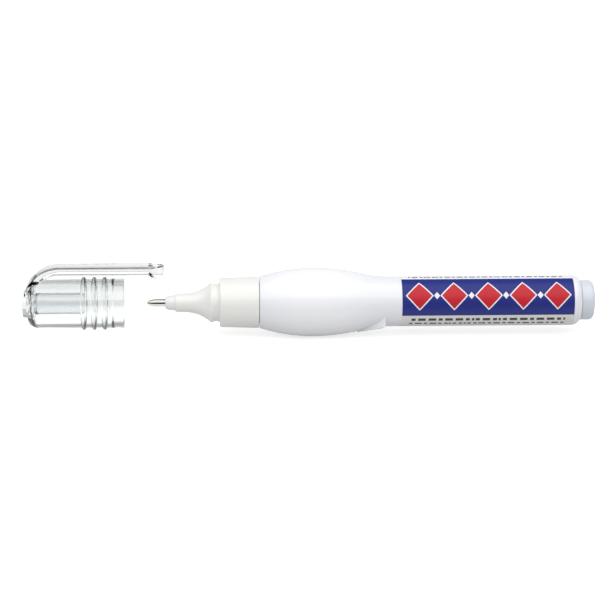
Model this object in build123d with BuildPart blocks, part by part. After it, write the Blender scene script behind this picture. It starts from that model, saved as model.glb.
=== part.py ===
from build123d import *

import os
from math import cos, pi, radians, sin, sqrt, tan

# Correction pen: a squeezable barrel of white fluid, a sprung ball valve in a metal tip,
# and a clear cap with a pocket clip, shown drawn off the tip.
# The pen lies along X with its tip towards -X and the clip upwards, on the plane Z = 0.
# Lengths are in millimetres. Places along the pen, called s, are counted from the
# shoulder that the cap seats on. Places along the cap, called c, from the cap's mouth.

# Squeeze barrel
barrel_r = 7.5
barrel_wall = 1.5
seam_r = 7.7
bulb_r = 10.25
bulb_wall = 0.9
bulb_front_len = 16.0
bulb_tail_len = 22.3
bulb_tail_crowned_share = 0.69
wall_change_len = 4.0
rear_shoulder_len = 2.35
rear_drop = 1.3
rear_wall = 1.0
rear_mouth_len = 7.5
rear_mouth_lead = 1.0
neck_len = 9.0
neck_wall = 1.4
snap_ring_width = 1.4
snap_ring_height = 0.3

# Guide lug moulded under the tail of the bulb
lug_roll = 250.0
lug_len = 8.1
lug_end_gap = 1.0
lug_half_width = 5.7
lug_apex_height = 9.2
lug_end_step = 0.45
lug_root = 0.5

# Printed film round the straight barrel
label_front_margin = 3.9
label_len = 51.5
label_rear_margin = 0.15
label_film = 0.08
label_seam_gap = 3.0
label_seam_roll = -30.6

# End plug
plug_step = 0.2
plug_head_len = 4.0
plug_edge_r = 1.0
plug_groove = 0.2
plug_groove_depth = 0.4
plug_wall = 1.1
plug_lead = 0.4
plug_web = 2.6

# Front section: sleeve, cap seat and flared cone
sleeve_len = 11.8
sleeve_draft = 0.35
sleeve_wall = 1.15
sleeve_edge_r = 0.5
sleeve_seam_r = 0.2
seam_gap = 0.15
seat_step = 1.4
collar_len = 2.8
collar_ridge = 0.15
collar_groove = 0.33
collar_root_drop = 0.09
cone_len = 10.4
cone_wall = 0.7
cone_taper_len = 3.4
cone_taper = 3.2

# Tip holder
nose_len = 3.0
nose_step = 0.38
nose_taper = 0.18
nose_bevel_len = 1.0
nose_lip = 0.65
chamber_step = 0.15
stem_wall = 0.7

# Metal tip with its rolled-over lip
tip_r = 1.15
tip_wall = 0.4
tip_cylinder_len = 2.6
tip_cone_len = 2.5
tip_seat_len = 6.2
tip_bore_lead = 0.6
rim_wall = 0.12

# Ball valve
ball_r = 0.5
ball_clearance = 0.02
lip_ahead = 0.2
valve_travel = 0.25
valve_spare = 0.05
needle_r = 0.28
needle_gap = 0.1
needle_ball_gap = 0.02
needle_collar_len = 0.6
needle_collar_gap = 0.15
needle_collar_spare = 0.4
needle_tail = 0.6
needle_flute_width = 0.5
needle_flute_depth = 0.4
needle_flutes = 3
spring_len = 4.8
spring_r = 0.8
spring_wire = 0.25
spring_turns = 5.5
spring_end_gap = 0.02
retainer_len = 1.2
retainer_flange = 0.5
retainer_flange_step = 0.5
retainer_slot_width = 0.6
retainer_slots = 3

# Mixing ball that rattles in the fluid
shaker_r = 2.5
shaker_gap = 0.1
shaker_rest = 75.0

# Clear cap
cap_off = 28.3
cap_tip_room = 5.3
cap_clearance = 0.05
cap_seat_gap = 0.05
cap_land_extra = 0.2
cap_land_height = 0.45
cap_land_ramp = 0.6
cap_wall = 1.0
cap_draft = 0.25
cap_lip_edge = 0.3
cap_end_wall = 1.8
cap_corner_r = 3.0
cap_bore_corner_r = 1.5
ring_bead_r = 0.7
ring_skin = 0.1
ring_first = 5.8
ring_pitch = 3.1
ring_count = 3

# Pocket clip, one moulding with the cap
clip_gap = 1.85
clip_thickness = 2.4
clip_width = 6.2
clip_leg = 1.4
clip_bend_start = 0.4
clip_bead_len = 4.4
clip_bead_height = 1.2
clip_edge_r = 0.6
clip_root = 0.15
clip_pad_r = 4.1
clip_pad_edge_r = 0.5

# Soft sealing tube inside the cap, which closes round the front of the cone
seal_wall = 0.45
seal_lap = 1.25
seal_clearance = 0.05
seal_socket_depth = 2.0
seal_floor = 1.2
seal_floor_r = 1.2
seal_lip_edge = 0.2

# Places along the pen that follow from the sizes
seam_s = sleeve_len
crown_s = seam_s + bulb_front_len
tail_s = crown_s + bulb_tail_len
label_s = tail_s + label_front_margin
label_end_s = label_s + label_len
shoulder_s = label_end_s + label_rear_margin
barrel_end_s = shoulder_s + rear_shoulder_len
pen_end_s = barrel_end_s + plug_head_len
mouth_s = barrel_end_s - rear_mouth_len
neck_s = seam_s - neck_len
cone_s = -collar_len - cone_len
nose_s = cone_s - nose_len
rim_s = nose_s - tip_cylinder_len - tip_cone_len
ball_s = rim_s + lip_ahead
ball_front_s = ball_s - ball_r
tip_rear_s = nose_s + tip_seat_len
needle_collar_s = tip_rear_s + needle_collar_spare
spring_s = needle_collar_s + needle_collar_len
retainer_s = spring_s + spring_len
stem_end_s = retainer_s + retainer_len

# Radii that follow from the sizes
bore_r = barrel_r - barrel_wall
rear_edge_r = barrel_r - rear_drop
mouth_r = rear_edge_r - rear_wall
sleeve_front_r = seam_r - sleeve_draft
neck_r = sleeve_front_r - sleeve_wall
neck_bore_r = neck_r - neck_wall
collar_r = sleeve_front_r - seat_step
plug_r = rear_edge_r - plug_step
chamber_r = tip_r + chamber_step
stem_r = chamber_r + stem_wall
nose_r = stem_r + nose_step
cone_r = stem_r + cone_wall
socket_r = ball_r + ball_clearance
lip_r = sqrt(socket_r**2 - lip_ahead**2)
needle_bore_r = needle_r + needle_gap
needle_collar_r = chamber_r - needle_collar_gap
cap_land_r = collar_r + cap_clearance
cap_bore_r = cap_land_r + cap_land_height
cap_mouth_r = cap_bore_r + cap_wall
cap_end_r = cap_mouth_r - cap_draft
seal_bore_r = cone_r + seal_lap * tan(radians(cone_taper)) + seal_clearance
seal_r = seal_bore_r + seal_wall

# Places along the cap that follow from what it covers
cap_depth = cap_tip_room - ball_front_s - cap_seat_gap
cap_end_c = -cap_depth - cap_end_wall
cap_front_c = cap_end_c - clip_leg
cap_land_len = collar_len + cap_land_extra
seal_mouth_c = cone_s + seal_lap - cap_seat_gap
seal_end_c = -cap_depth - seal_socket_depth
clip_reach = sleeve_len
clip_under = cap_mouth_r + clip_gap
clip_top = clip_under + clip_thickness

# The frame: the origin lies under the middle of the pen and its drawn-off cap
axis_height = bulb_r
seat_x = (cap_off - cap_front_c - pen_end_s) / 2
cap_x = seat_x - cap_off
pen_axis = Axis((seat_x, 0, axis_height), (1, 0, 0))


def axial_plane(x, roll=90.0):
    """Plane that holds the pen's axis: local x along the pen, local y outwards at this roll."""
    outwards = Vector(0, cos(radians(roll)), sin(radians(roll)))
    return Plane(origin=(x, 0, axis_height), x_dir=(1, 0, 0), z_dir=Vector(1, 0, 0).cross(outwards))


def cross_plane(x):
    """Plane square to the pen's axis, facing the rear: local x along Y, local y along Z."""
    return Plane(origin=(x, 0, axis_height), x_dir=(0, 1, 0), z_dir=(1, 0, 0))


pen_plane = axial_plane(seat_x)
cap_plane = axial_plane(cap_x)


def turn(plane, outline, mode=Mode.ADD):
    """Turn a straight-sided outline of (place along the pen, radius) points about the axis."""
    with BuildSketch(plane) as profile:
        with BuildLine():
            Polyline(*outline, close=True)
        make_face()
    revolve(profile.sketch, axis=pen_axis, mode=mode)


def snap_ring(mode):
    """Round-backed ring on the neck, which clicks into the same groove in the sleeve."""
    middle = (neck_s + seam_s) / 2
    with BuildSketch(pen_plane) as profile:
        with BuildLine():
            start = (middle - snap_ring_width / 2, neck_r)
            end = (middle + snap_ring_width / 2, neck_r)
            ThreePointArc(start, (middle, neck_r + snap_ring_height), end)
            Line(end, start)
        make_face()
    revolve(profile.sketch, axis=pen_axis, mode=mode)


# The bulb's tail is two arcs that meet at the same slope, so one chord holds both
tail_drop = bulb_r - barrel_r
turn_s = crown_s + bulb_tail_crowned_share * bulb_tail_len
turn_r = bulb_r - bulb_tail_crowned_share * tail_drop
tail_chord = Vector(bulb_tail_len, -tail_drop).normalized()
tail_slope = Vector(tail_chord.X**2 - tail_chord.Y**2, 2 * tail_chord.X * tail_chord.Y)

# The inside of the bulb is the same curve, one wall further in
front_rise = bulb_r - seam_r
front_arc_r = (bulb_front_len**2 + front_rise**2) / (2 * front_rise)
inner_front_s = seam_s + bulb_wall
inner_front_rise = sqrt((front_arc_r - bulb_wall) ** 2 - (crown_s - inner_front_s) ** 2)
inner_front_r = bulb_r - front_arc_r + inner_front_rise
inner_crown = (crown_s, bulb_r - bulb_wall)
inner_turn = (turn_s + bulb_wall * tail_slope.Y, turn_r - bulb_wall * tail_slope.X)
inner_tail = (tail_s, barrel_r - bulb_wall)

# Squeeze barrel
with BuildPart() as squeeze_barrel:
    with BuildSketch(pen_plane):
        with BuildLine():
            Polyline((neck_s, 0), (neck_s, neck_r), (seam_s, neck_r), (seam_s, seam_r))
            TangentArc((crown_s, bulb_r), (seam_s, seam_r), tangent=(-1, 0))
            TangentArc((crown_s, bulb_r), (turn_s, turn_r), tangent=(1, 0))
            TangentArc((tail_s, barrel_r), (turn_s, turn_r), tangent=(-1, 0))
            Polyline(
                (tail_s, barrel_r),
                (label_s, barrel_r),
                (label_s, barrel_r - label_film),
                (label_end_s, barrel_r - label_film),
                (label_end_s, barrel_r),
                (shoulder_s, barrel_r),
            )
            TangentArc((shoulder_s, barrel_r), (barrel_end_s, rear_edge_r), tangent=(1, 0))
            Polyline((barrel_end_s, rear_edge_r), (barrel_end_s, 0), (neck_s, 0))
        make_face()
    revolve(axis=pen_axis)
    snap_ring(Mode.ADD)

    # The lug is a triangle on a sloping flat, carried straight in to the barrel
    lug_side = axial_plane(seat_x, lug_roll)
    lug_end_s = tail_s - lug_end_gap
    lug_end_height = barrel_r + lug_end_step
    lug_end = lug_side.from_local_coords(Vector(lug_end_s, lug_end_height, 0))
    lug_apex = lug_side.from_local_coords(Vector(lug_end_s - lug_len, lug_apex_height, 0))
    lug_slope = lug_end - lug_apex
    lug_flat = Plane(origin=lug_end, x_dir=lug_side.z_dir, z_dir=lug_side.z_dir.cross(lug_slope))
    lug_depth = lug_end_height + lug_root - sqrt(barrel_r**2 - lug_half_width**2)
    with BuildSketch(lug_flat):
        with BuildLine():
            Polyline(
                (-lug_half_width, 0),
                (lug_half_width, 0),
                (0, -lug_slope.length),
                close=True,
            )
        make_face()
    extrude(amount=lug_depth, dir=-lug_side.y_dir)

    with BuildSketch(pen_plane):
        with BuildLine():
            Polyline(
                (neck_s, 0),
                (neck_s, neck_bore_r),
                (inner_front_s, neck_bore_r),
                (inner_front_s, inner_front_r),
            )
            TangentArc(inner_crown, (inner_front_s, inner_front_r), tangent=(-1, 0))
            TangentArc(inner_crown, inner_turn, tangent=(1, 0))
            TangentArc(inner_tail, inner_turn, tangent=(-1, 0))
            Polyline(
                inner_tail,
                (tail_s + wall_change_len, bore_r),
                (mouth_s - rear_mouth_lead, bore_r),
                (mouth_s, mouth_r),
                (barrel_end_s, mouth_r),
                (barrel_end_s, 0),
                (neck_s, 0),
            )
        make_face()
    revolve(axis=pen_axis, mode=Mode.SUBTRACT)

# Printed film, wrapped almost all the way round in its shallow seat
label_gap_angle = label_seam_gap / barrel_r * 180 / pi
label_side = axial_plane(seat_x, label_seam_roll + label_gap_angle / 2)
with BuildPart() as barrel_label:
    with BuildSketch(label_side):
        with Locations(((label_s + label_end_s) / 2, barrel_r - label_film / 2)):
            Rectangle(label_len, label_film)
    revolve(axis=pen_axis, revolution_arc=360 - label_gap_angle)

# End plug: a cup pressed into the rear mouth, with a head that stands off by a fine groove
plug_hollow_r = mouth_r - plug_wall
plug_hollow_s = pen_end_s - plug_web
plug_neck_r = plug_r - plug_groove_depth
with BuildPart() as end_plug:
    with BuildSketch(pen_plane):
        with BuildLine():
            Polyline(
                (plug_hollow_s, 0),
                (plug_hollow_s, plug_hollow_r),
                (mouth_s, plug_hollow_r),
                (mouth_s, mouth_r - plug_lead),
                (mouth_s + plug_lead, mouth_r),
                (barrel_end_s, mouth_r),
                (barrel_end_s, plug_neck_r),
                (barrel_end_s + plug_groove, plug_neck_r),
                (barrel_end_s + plug_groove, plug_r),
                (pen_end_s - plug_edge_r, plug_r),
            )
            TangentArc(
                (pen_end_s - plug_edge_r, plug_r), (pen_end_s, plug_r - plug_edge_r), tangent=(1, 0)
            )
            Polyline((pen_end_s, plug_r - plug_edge_r), (pen_end_s, 0), (plug_hollow_s, 0))
        make_face()
    revolve(axis=pen_axis)

# Front section: socket for the barrel's neck, cap seat, and cone with the holder's bore
section_end_s = seam_s - seam_gap
taper_end = (cone_s + cone_taper_len, cone_r + cone_taper_len * tan(radians(cone_taper)))
taper_slope = (cos(radians(cone_taper)), sin(radians(cone_taper)))
ridge_foot = (-collar_len, collar_r - collar_ridge)
ridge_top = (-collar_len + collar_ridge, collar_r)
collar_root = (0, collar_r - collar_root_drop)
collar_valley = (-collar_len / 2, collar_r - collar_groove)
with BuildPart() as front_section:
    with BuildSketch(pen_plane):
        with BuildLine():
            Polyline((cone_s, stem_r), (cone_s, cone_r), taper_end)
            TangentArc(taper_end, ridge_foot, tangent=taper_slope)
            Line(ridge_foot, ridge_top)
            ThreePointArc(ridge_top, collar_valley, collar_root)
            Line(collar_root, (0, sleeve_front_r - sleeve_edge_r))
            TangentArc(
                (sleeve_edge_r, sleeve_front_r), (0, sleeve_front_r - sleeve_edge_r), tangent=(-1, 0)
            )
            Line((sleeve_edge_r, sleeve_front_r), (section_end_s - sleeve_seam_r, seam_r))
            TangentArc(
                (section_end_s - sleeve_seam_r, seam_r),
                (section_end_s, seam_r - sleeve_seam_r),
                tangent=(1, 0),
            )
            Polyline(
                (section_end_s, seam_r - sleeve_seam_r),
                (section_end_s, neck_r),
                (neck_s, neck_r),
                (neck_s, neck_bore_r),
                (stem_end_s, stem_r),
                (cone_s, stem_r),
            )
        make_face()
    revolve(axis=pen_axis)
    snap_ring(Mode.SUBTRACT)

# Tip holder: nose, long stem in the cone, and the spring's chamber
with BuildPart() as tip_holder:
    turn(
        pen_plane,
        [
            (nose_s, tip_r),
            (nose_s, tip_r + nose_lip),
            (nose_s + nose_bevel_len, nose_r - nose_taper),
            (cone_s, nose_r),
            (cone_s, stem_r),
            (stem_end_s, stem_r),
            (stem_end_s, chamber_r),
            (tip_rear_s, chamber_r),
            (tip_rear_s, tip_r),
        ],
    )

# Metal tip: the lip closes over the ball ahead of its middle, and the ball backs off a little
socket_end_s = ball_s + valve_travel + valve_spare
seat_s = socket_end_s + sqrt(socket_r**2 - needle_bore_r**2)
tip_bore_r = tip_r - tip_wall
tip_bore_s = nose_s - tip_cylinder_len + tip_bore_lead
with BuildPart() as metal_tip:
    with BuildSketch(pen_plane):
        with BuildLine():
            RadiusArc((rim_s, lip_r), (ball_s, socket_r), socket_r)
            Line((ball_s, socket_r), (socket_end_s, socket_r))
            RadiusArc((socket_end_s, socket_r), (seat_s, needle_bore_r), socket_r)
            Polyline(
                (seat_s, needle_bore_r),
                (tip_bore_s, needle_bore_r),
                (tip_bore_s + tip_bore_lead, tip_bore_r),
                (tip_rear_s, tip_bore_r),
                (tip_rear_s, tip_r),
                (nose_s - tip_cylinder_len, tip_r),
                (rim_s, lip_r + rim_wall),
                (rim_s, lip_r),
            )
        make_face()
    revolve(axis=pen_axis)

with BuildPart() as tip_ball:
    with Locations((seat_x + ball_s, 0, axis_height)):
        Sphere(ball_r)

# Valve needle: a pin behind the ball, with a fluted collar for the spring to push on
needle_front_s = ball_s + ball_r + needle_ball_gap
needle_end_s = stem_end_s + retainer_flange + needle_tail
with BuildPart() as valve_needle:
    turn(
        pen_plane,
        [
            (needle_front_s, 0),
            (needle_front_s, needle_r),
            (needle_collar_s, needle_r),
            (needle_collar_s, needle_collar_r),
            (spring_s, needle_collar_r),
            (spring_s, needle_r),
            (needle_end_s, needle_r),
            (needle_end_s, 0),
        ],
    )
    with BuildSketch(cross_plane(seat_x + needle_collar_s)):
        with PolarLocations(needle_collar_r, needle_flutes):
            Rectangle(2 * needle_flute_depth, needle_flute_width)
    extrude(amount=needle_collar_len, mode=Mode.SUBTRACT)

# Needle spring: one helix of wire, laid out as pairs of tangent arcs for each half turn
coil_start_s = spring_s + spring_wire / 2 + spring_end_gap
coil_end_s = retainer_s - spring_wire / 2 - spring_end_gap
coil_pitch = (coil_end_s - coil_start_s) / spring_turns


def coil_point(turns):
    """Point on the wire's middle line after this many turns."""
    angle = 2 * pi * turns
    x = seat_x + coil_start_s + coil_pitch * turns
    return Vector(x, spring_r * cos(angle), axis_height + spring_r * sin(angle))


def coil_direction(turns):
    """Unit direction of the wire after this many turns."""
    angle = 2 * pi * turns
    around = 2 * pi * spring_r
    return Vector(coil_pitch, -around * sin(angle), around * cos(angle)).normalized()


def arc_pair(start, start_way, end, end_way):
    """Two arcs from start to end that keep both end directions and meet at one slope."""
    chord = end - start
    ways = start_way + end_way
    spread = 2 * (1 - start_way.dot(end_way))
    reach = (-chord.dot(ways) + sqrt(chord.dot(ways) ** 2 + spread * chord.dot(chord))) / spread
    corner_1 = start + start_way * reach
    corner_2 = end - end_way * reach
    middle = (corner_1 + corner_2) * 0.5
    TangentArc(start, middle, tangent=start_way)
    TangentArc(middle, end, tangent=corner_2 - corner_1)


half_turns = [half / 2 for half in range(int(2 * spring_turns) + 1)]
with BuildPart() as needle_spring:
    with BuildLine() as coil:
        for before, after in zip(half_turns, half_turns[1:]):
            arc_pair(
                coil_point(before), coil_direction(before), coil_point(after), coil_direction(after)
            )
    with BuildSketch(Plane(origin=coil_point(0), z_dir=coil_direction(0))):
        Circle(spring_wire / 2)
    sweep(path=coil.wires()[0])

# Least gap between turns, on points sampled half a turn or more apart along the wire
samples_per_turn = 24
wire_points = [coil_point(n / samples_per_turn) for n in range(int(samples_per_turn * spring_turns) + 1)]
turn_gaps = [
    (wire_points[j] - wire_points[i]).length - spring_wire
    for i in range(len(wire_points))
    for j in range(i + samples_per_turn // 2, len(wire_points))
]
print(f"needle spring: least gap between turns {min(turn_gaps):.2f} mm")

# Spring retainer: a flanged bush in the end of the chamber, slotted for the fluid
retainer_flange_r = chamber_r + retainer_flange_step
with BuildPart() as spring_retainer:
    turn(
        pen_plane,
        [
            (retainer_s, needle_bore_r),
            (retainer_s, chamber_r),
            (stem_end_s, chamber_r),
            (stem_end_s, retainer_flange_r),
            (stem_end_s + retainer_flange, retainer_flange_r),
            (stem_end_s + retainer_flange, needle_bore_r),
        ],
    )
    with BuildSketch(cross_plane(seat_x + retainer_s)):
        with PolarLocations(retainer_flange_r, retainer_slots):
            Rectangle(2 * retainer_flange_step + chamber_r, retainer_slot_width)
    extrude(amount=retainer_len + retainer_flange, mode=Mode.SUBTRACT)

# Mixing ball, lying on the bottom of the bore
shaker_drop = bore_r - shaker_r - shaker_gap
with BuildPart() as shaker_ball:
    with Locations((seat_x + shaker_rest, 0, axis_height - shaker_drop)):
        Sphere(shaker_r)

# Pocket clip: a band that leaves the closed end, bends over and runs back along the pen
bend_r = clip_top - clip_bend_start
bend_c = cap_front_c + bend_r
bead_c = clip_reach - clip_bead_len
root_r = cap_bore_r + clip_root
root_c = bend_c - sqrt((bend_r - clip_thickness) ** 2 - (root_r - clip_bend_start) ** 2)
with BuildPart() as clip:
    with BuildSketch(cap_plane):
        with BuildLine():
            Line((cap_front_c, 0), (cap_front_c, clip_bend_start))
            TangentArc((cap_front_c, clip_bend_start), (bend_c, clip_top), tangent=(0, 1))
            Polyline((bend_c, clip_top), (clip_reach, clip_top), (clip_reach, clip_under))
            ThreePointArc(
                (clip_reach, clip_under),
                (clip_reach - clip_bead_len / 2, clip_under - clip_bead_height),
                (bead_c, clip_under),
            )
            Line((bead_c, clip_under), (bend_c, clip_under))
            TangentArc((bend_c, clip_under), (root_c, root_r), tangent=(-1, 0))
            Polyline(
                (root_c, root_r),
                (-cap_depth - clip_root, root_r),
                (cap_end_c + clip_root, seal_r),
                (cap_end_c + clip_root, 0),
                (cap_front_c, 0),
            )
        make_face()
    extrude(amount=clip_width / 2, both=True)
    with BuildSketch(Plane.XY.offset(axis_height)):
        with BuildLine():
            end_x = cap_x + clip_reach
            Polyline(
                (end_x - clip_width / 2, clip_width / 2),
                (cap_x + cap_front_c, clip_width / 2),
                (cap_x + cap_front_c, -clip_width / 2),
                (end_x - clip_width / 2, -clip_width / 2),
            )
            ThreePointArc(
                (end_x - clip_width / 2, -clip_width / 2),
                (end_x, 0),
                (end_x - clip_width / 2, clip_width / 2),
            )
        make_face()
    extrude(amount=clip_top, mode=Mode.INTERSECT)
    fillet(clip.faces().sort_by(Axis.Z)[-1].edges().filter_by(Axis.X), clip_edge_r)

# Clear cap: turned shell with a snug land, ring beads, the clip and its round foot,
# and a socket in the end wall for the sealing tube
ring_r = cap_bore_r + ring_skin + ring_bead_r
ring_places = [-ring_first - ring_pitch * n for n in range(ring_count)]
with BuildPart() as cap_shell:
    with BuildSketch(cap_plane) as wall:
        with BuildLine():
            Polyline(
                (0, cap_land_r + cap_lip_edge),
                (-cap_lip_edge, cap_land_r),
                (-cap_land_len, cap_land_r),
                (-cap_land_len - cap_land_ramp, cap_bore_r),
                (-cap_depth, cap_bore_r),
                (-cap_depth, 0),
                (cap_end_c, 0),
                (cap_end_c, cap_end_r),
                (0, cap_mouth_r),
                close=True,
            )
        make_face()
        fillet(wall.vertices().group_by(Axis.X)[0].sort_by(Axis.Y)[-1], cap_corner_r)
        bore_corner = wall.vertices().sort_by_distance((-cap_depth, cap_bore_r))[0]
        fillet(bore_corner, cap_bore_corner_r)
        lip_corner = wall.vertices().sort_by_distance((0, cap_mouth_r))[0]
        fillet(lip_corner, cap_lip_edge)
    revolve(axis=pen_axis)
    with BuildSketch(cap_plane):
        with Locations(*[(place, ring_r) for place in ring_places]):
            Circle(ring_bead_r)
    revolve(axis=pen_axis)
    with BuildSketch(cross_plane(cap_x + cap_front_c)):
        Circle(clip_pad_r)
    extrude(amount=clip_leg + clip_root)
    fillet(cap_shell.edges().group_by(Axis.X)[0], clip_pad_edge_r)
    add(clip.part)
    with BuildSketch(cross_plane(cap_x - cap_depth)):
        Circle(seal_r)
    extrude(amount=-seal_socket_depth, mode=Mode.SUBTRACT)

# Cap seal: a soft tube with a closed end, pressed into the cap's end wall
seal_floor_c = seal_end_c + seal_floor
with BuildPart() as cap_seal:
    with BuildSketch(cap_plane):
        with BuildLine():
            Polyline(
                (seal_floor_c, 0),
                (seal_end_c, 0),
                (seal_end_c, seal_r),
                (seal_mouth_c - seal_lip_edge, seal_r),
            )
            TangentArc(
                (seal_mouth_c - seal_lip_edge, seal_r), (seal_mouth_c, seal_r - seal_lip_edge), tangent=(1, 0)
            )
            Polyline(
                (seal_mouth_c, seal_r - seal_lip_edge),
                (seal_mouth_c, seal_bore_r),
                (seal_floor_c + seal_floor_r, seal_bore_r),
            )
            TangentArc(
                (seal_floor_c + seal_floor_r, seal_bore_r),
                (seal_floor_c, seal_bore_r - seal_floor_r),
                tangent=(-1, 0),
            )
            Line((seal_floor_c, seal_bore_r - seal_floor_r), (seal_floor_c, 0))
        make_face()
    revolve(axis=pen_axis)

# Write each piece under its own name
pieces = {
    "squeeze_barrel": squeeze_barrel,
    "barrel_label": barrel_label,
    "end_plug": end_plug,
    "front_section": front_section,
    "tip_holder": tip_holder,
    "metal_tip": metal_tip,
    "tip_ball": tip_ball,
    "valve_needle": valve_needle,
    "needle_spring": needle_spring,
    "spring_retainer": spring_retainer,
    "shaker_ball": shaker_ball,
    "cap_shell": cap_shell,
    "cap_seal": cap_seal,
}
os.makedirs("parts", exist_ok=True)
for name, piece in pieces.items():
    piece.part.label = name
    export_step(piece.part, f"parts/{name}.step")
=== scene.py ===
# %% [markdown]
# # A correction pen with its clear cap drawn off
#
# The pen is a soft white bottle with a squeeze bulb, a warm white front section, a sprung
# ball in a metal tip, a printed film round the barrel and a clear cap with a pocket clip.
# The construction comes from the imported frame. This script gives every visible piece a
# fine surface, a finish and a place to be photographed in.
#
# Nearly all of it is turned work: an outline of (x, radius) rows, swept about one axis.
# So the lesson is mostly about outlines: how to round them, how to sample them so that the
# light runs smoothly over them, and how to tell the shader where the edges are.

from math import atan2, cos, pi, radians, sin, sqrt, tan

import bmesh
import bpy
import numpy as np
from mathutils import Matrix, Vector


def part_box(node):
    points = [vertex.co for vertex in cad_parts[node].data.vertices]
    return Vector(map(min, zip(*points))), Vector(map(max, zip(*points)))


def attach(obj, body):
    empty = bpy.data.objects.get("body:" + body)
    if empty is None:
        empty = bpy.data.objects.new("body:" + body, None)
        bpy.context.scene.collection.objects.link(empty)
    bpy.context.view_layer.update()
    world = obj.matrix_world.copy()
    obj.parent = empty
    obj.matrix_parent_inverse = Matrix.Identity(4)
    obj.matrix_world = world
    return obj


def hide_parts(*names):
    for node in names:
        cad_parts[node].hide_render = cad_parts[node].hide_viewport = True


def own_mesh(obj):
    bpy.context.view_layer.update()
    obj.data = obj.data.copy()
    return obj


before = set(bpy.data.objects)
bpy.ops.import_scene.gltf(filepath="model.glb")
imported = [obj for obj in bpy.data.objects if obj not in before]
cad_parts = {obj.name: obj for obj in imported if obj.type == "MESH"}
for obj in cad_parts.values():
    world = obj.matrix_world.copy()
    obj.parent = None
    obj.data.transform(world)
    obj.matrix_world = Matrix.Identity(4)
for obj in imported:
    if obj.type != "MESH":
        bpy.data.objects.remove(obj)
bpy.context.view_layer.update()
scene = bpy.context.scene
scene.view_settings.view_transform = "Standard"
mm = 0.001
print("nodes in the frame:", ", ".join(sorted(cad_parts)))

# %% [markdown]
# ## Camera
#
# The pen was photographed from a little above, nearly square on, with a long lens. A camera
# can be placed by hand, or worked out from a turn, a height and a distance about a target.
# The second way keeps the view readable: each number below says one thing about the shot.

# %% Camera
view_turn = radians(-3.0)
view_height = radians(17.5)
view_roll = radians(0.49)
view_lens = 120.0
view_distance = 597.7 * mm
view_target = Vector((-2.83, 0.0, 10.85)) * mm

back = Vector((sin(view_turn) * cos(view_height), -cos(view_turn) * cos(view_height), sin(view_height)))
right = Vector((cos(view_turn), sin(view_turn), 0.0))
turned_axes = Matrix((right, back.cross(right), back)).transposed()

camera = bpy.data.objects.new("camera", bpy.data.cameras.new("camera"))
camera.data.lens = view_lens
camera.data.clip_start = 10 * mm
camera.matrix_world = (
    Matrix.Translation(view_target + back * view_distance)
    @ turned_axes.to_4x4()
    @ Matrix.Rotation(view_roll, 4, "Z")
)
scene.collection.objects.link(camera)
scene.camera = camera
print("camera stands at", tuple(round(v / mm, 1) for v in camera.matrix_world.translation), "mm")

# %% [markdown]
# ## What the frame says
#
# Every turned piece shares the pen's axis, so its box gives its two ends and its largest
# radius. The sizes could be typed in again, but read from the frame they can't disagree with
# it. Lengths are handled in millimetres and scaled once, when a mesh is written.


# %% Spans along the pen
def span(node):
    """Front end, rear end and largest radius of a turned node, in millimetres."""
    low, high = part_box(node)
    return low.x / mm, high.x / mm, (high.y - low.y) / 2 / mm


barrel_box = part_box("squeeze_barrel")
axis_z = (barrel_box[0].z + barrel_box[1].z) / 2 / mm
front_x, section_end_x, seam_r = span("front_section")
neck_x, barrel_end_x, bulb_r = span("squeeze_barrel")
label_x, label_end_x, barrel_r = span("barrel_label")
plug_x, pen_end_x, plug_r = span("end_plug")
nose_x, stem_end_x, nose_r = span("tip_holder")
rim_x, tip_rear_x, tip_r = span("metal_tip")
ball_x, ball_rear_x, ball_r = span("tip_ball")
cap_x, clip_end_x, cap_bead_r = span("cap_shell")
seal_x, seal_mouth_x, seal_r = span("cap_seal")
clip_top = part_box("cap_shell")[1].z / mm - axis_z
print(f"axis {axis_z:.2f} mm up, pen {ball_x:.2f} to {pen_end_x:.2f} mm, cap from {cap_x:.2f} mm")

# %% [markdown]
# ## Outlines that take light well
#
# A turned mesh looks cheap for two reasons: its edges are knife sharp, and its normals
# smear across long faces. Bevel modifiers and weighted normals can mend that later. Here
# the outline itself does it: each corner is eased by a small curve, and each long run gets
# extra points close to its ends, so that the smear is too narrow to see.


# %% Outline helpers
def tangent_arc(start, end, way, steps):
    """Arc that leaves start along way and reaches end: start + R sin(f) t + R (1 - cos f) n, where t is the
    unit way, n its left normal, R = d.d / 2 d.n for the chord d, and f runs to 2 atan2(d.n, d.t)."""
    start, chord = np.array(start, float), np.subtract(end, start)
    ahead = np.array(way, float) / np.hypot(*way)
    left = np.array([-ahead[1], ahead[0]])
    radius = chord @ chord / (2 * chord @ left)
    turn = np.linspace(0, 2 * atan2(chord @ left, chord @ ahead), steps)[:, None]
    return start + radius * (np.sin(turn) * ahead + (1 - np.cos(turn)) * left)


def oval_arc(x, r, a, b, from_angle, to_angle, steps):
    """Arc about (x, r): x + a cos(f), r + b sin(f), where f runs from one angle to the other."""
    f = np.linspace(from_angle, to_angle, steps)
    return np.column_stack([x + a * np.cos(f), r + b * np.sin(f)])


def plain(points):
    """Rows of an outline that already runs smoothly: no rounding is added to them."""
    points = np.asarray(points, float)
    return np.column_stack([points, np.zeros(len(points))])


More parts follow.
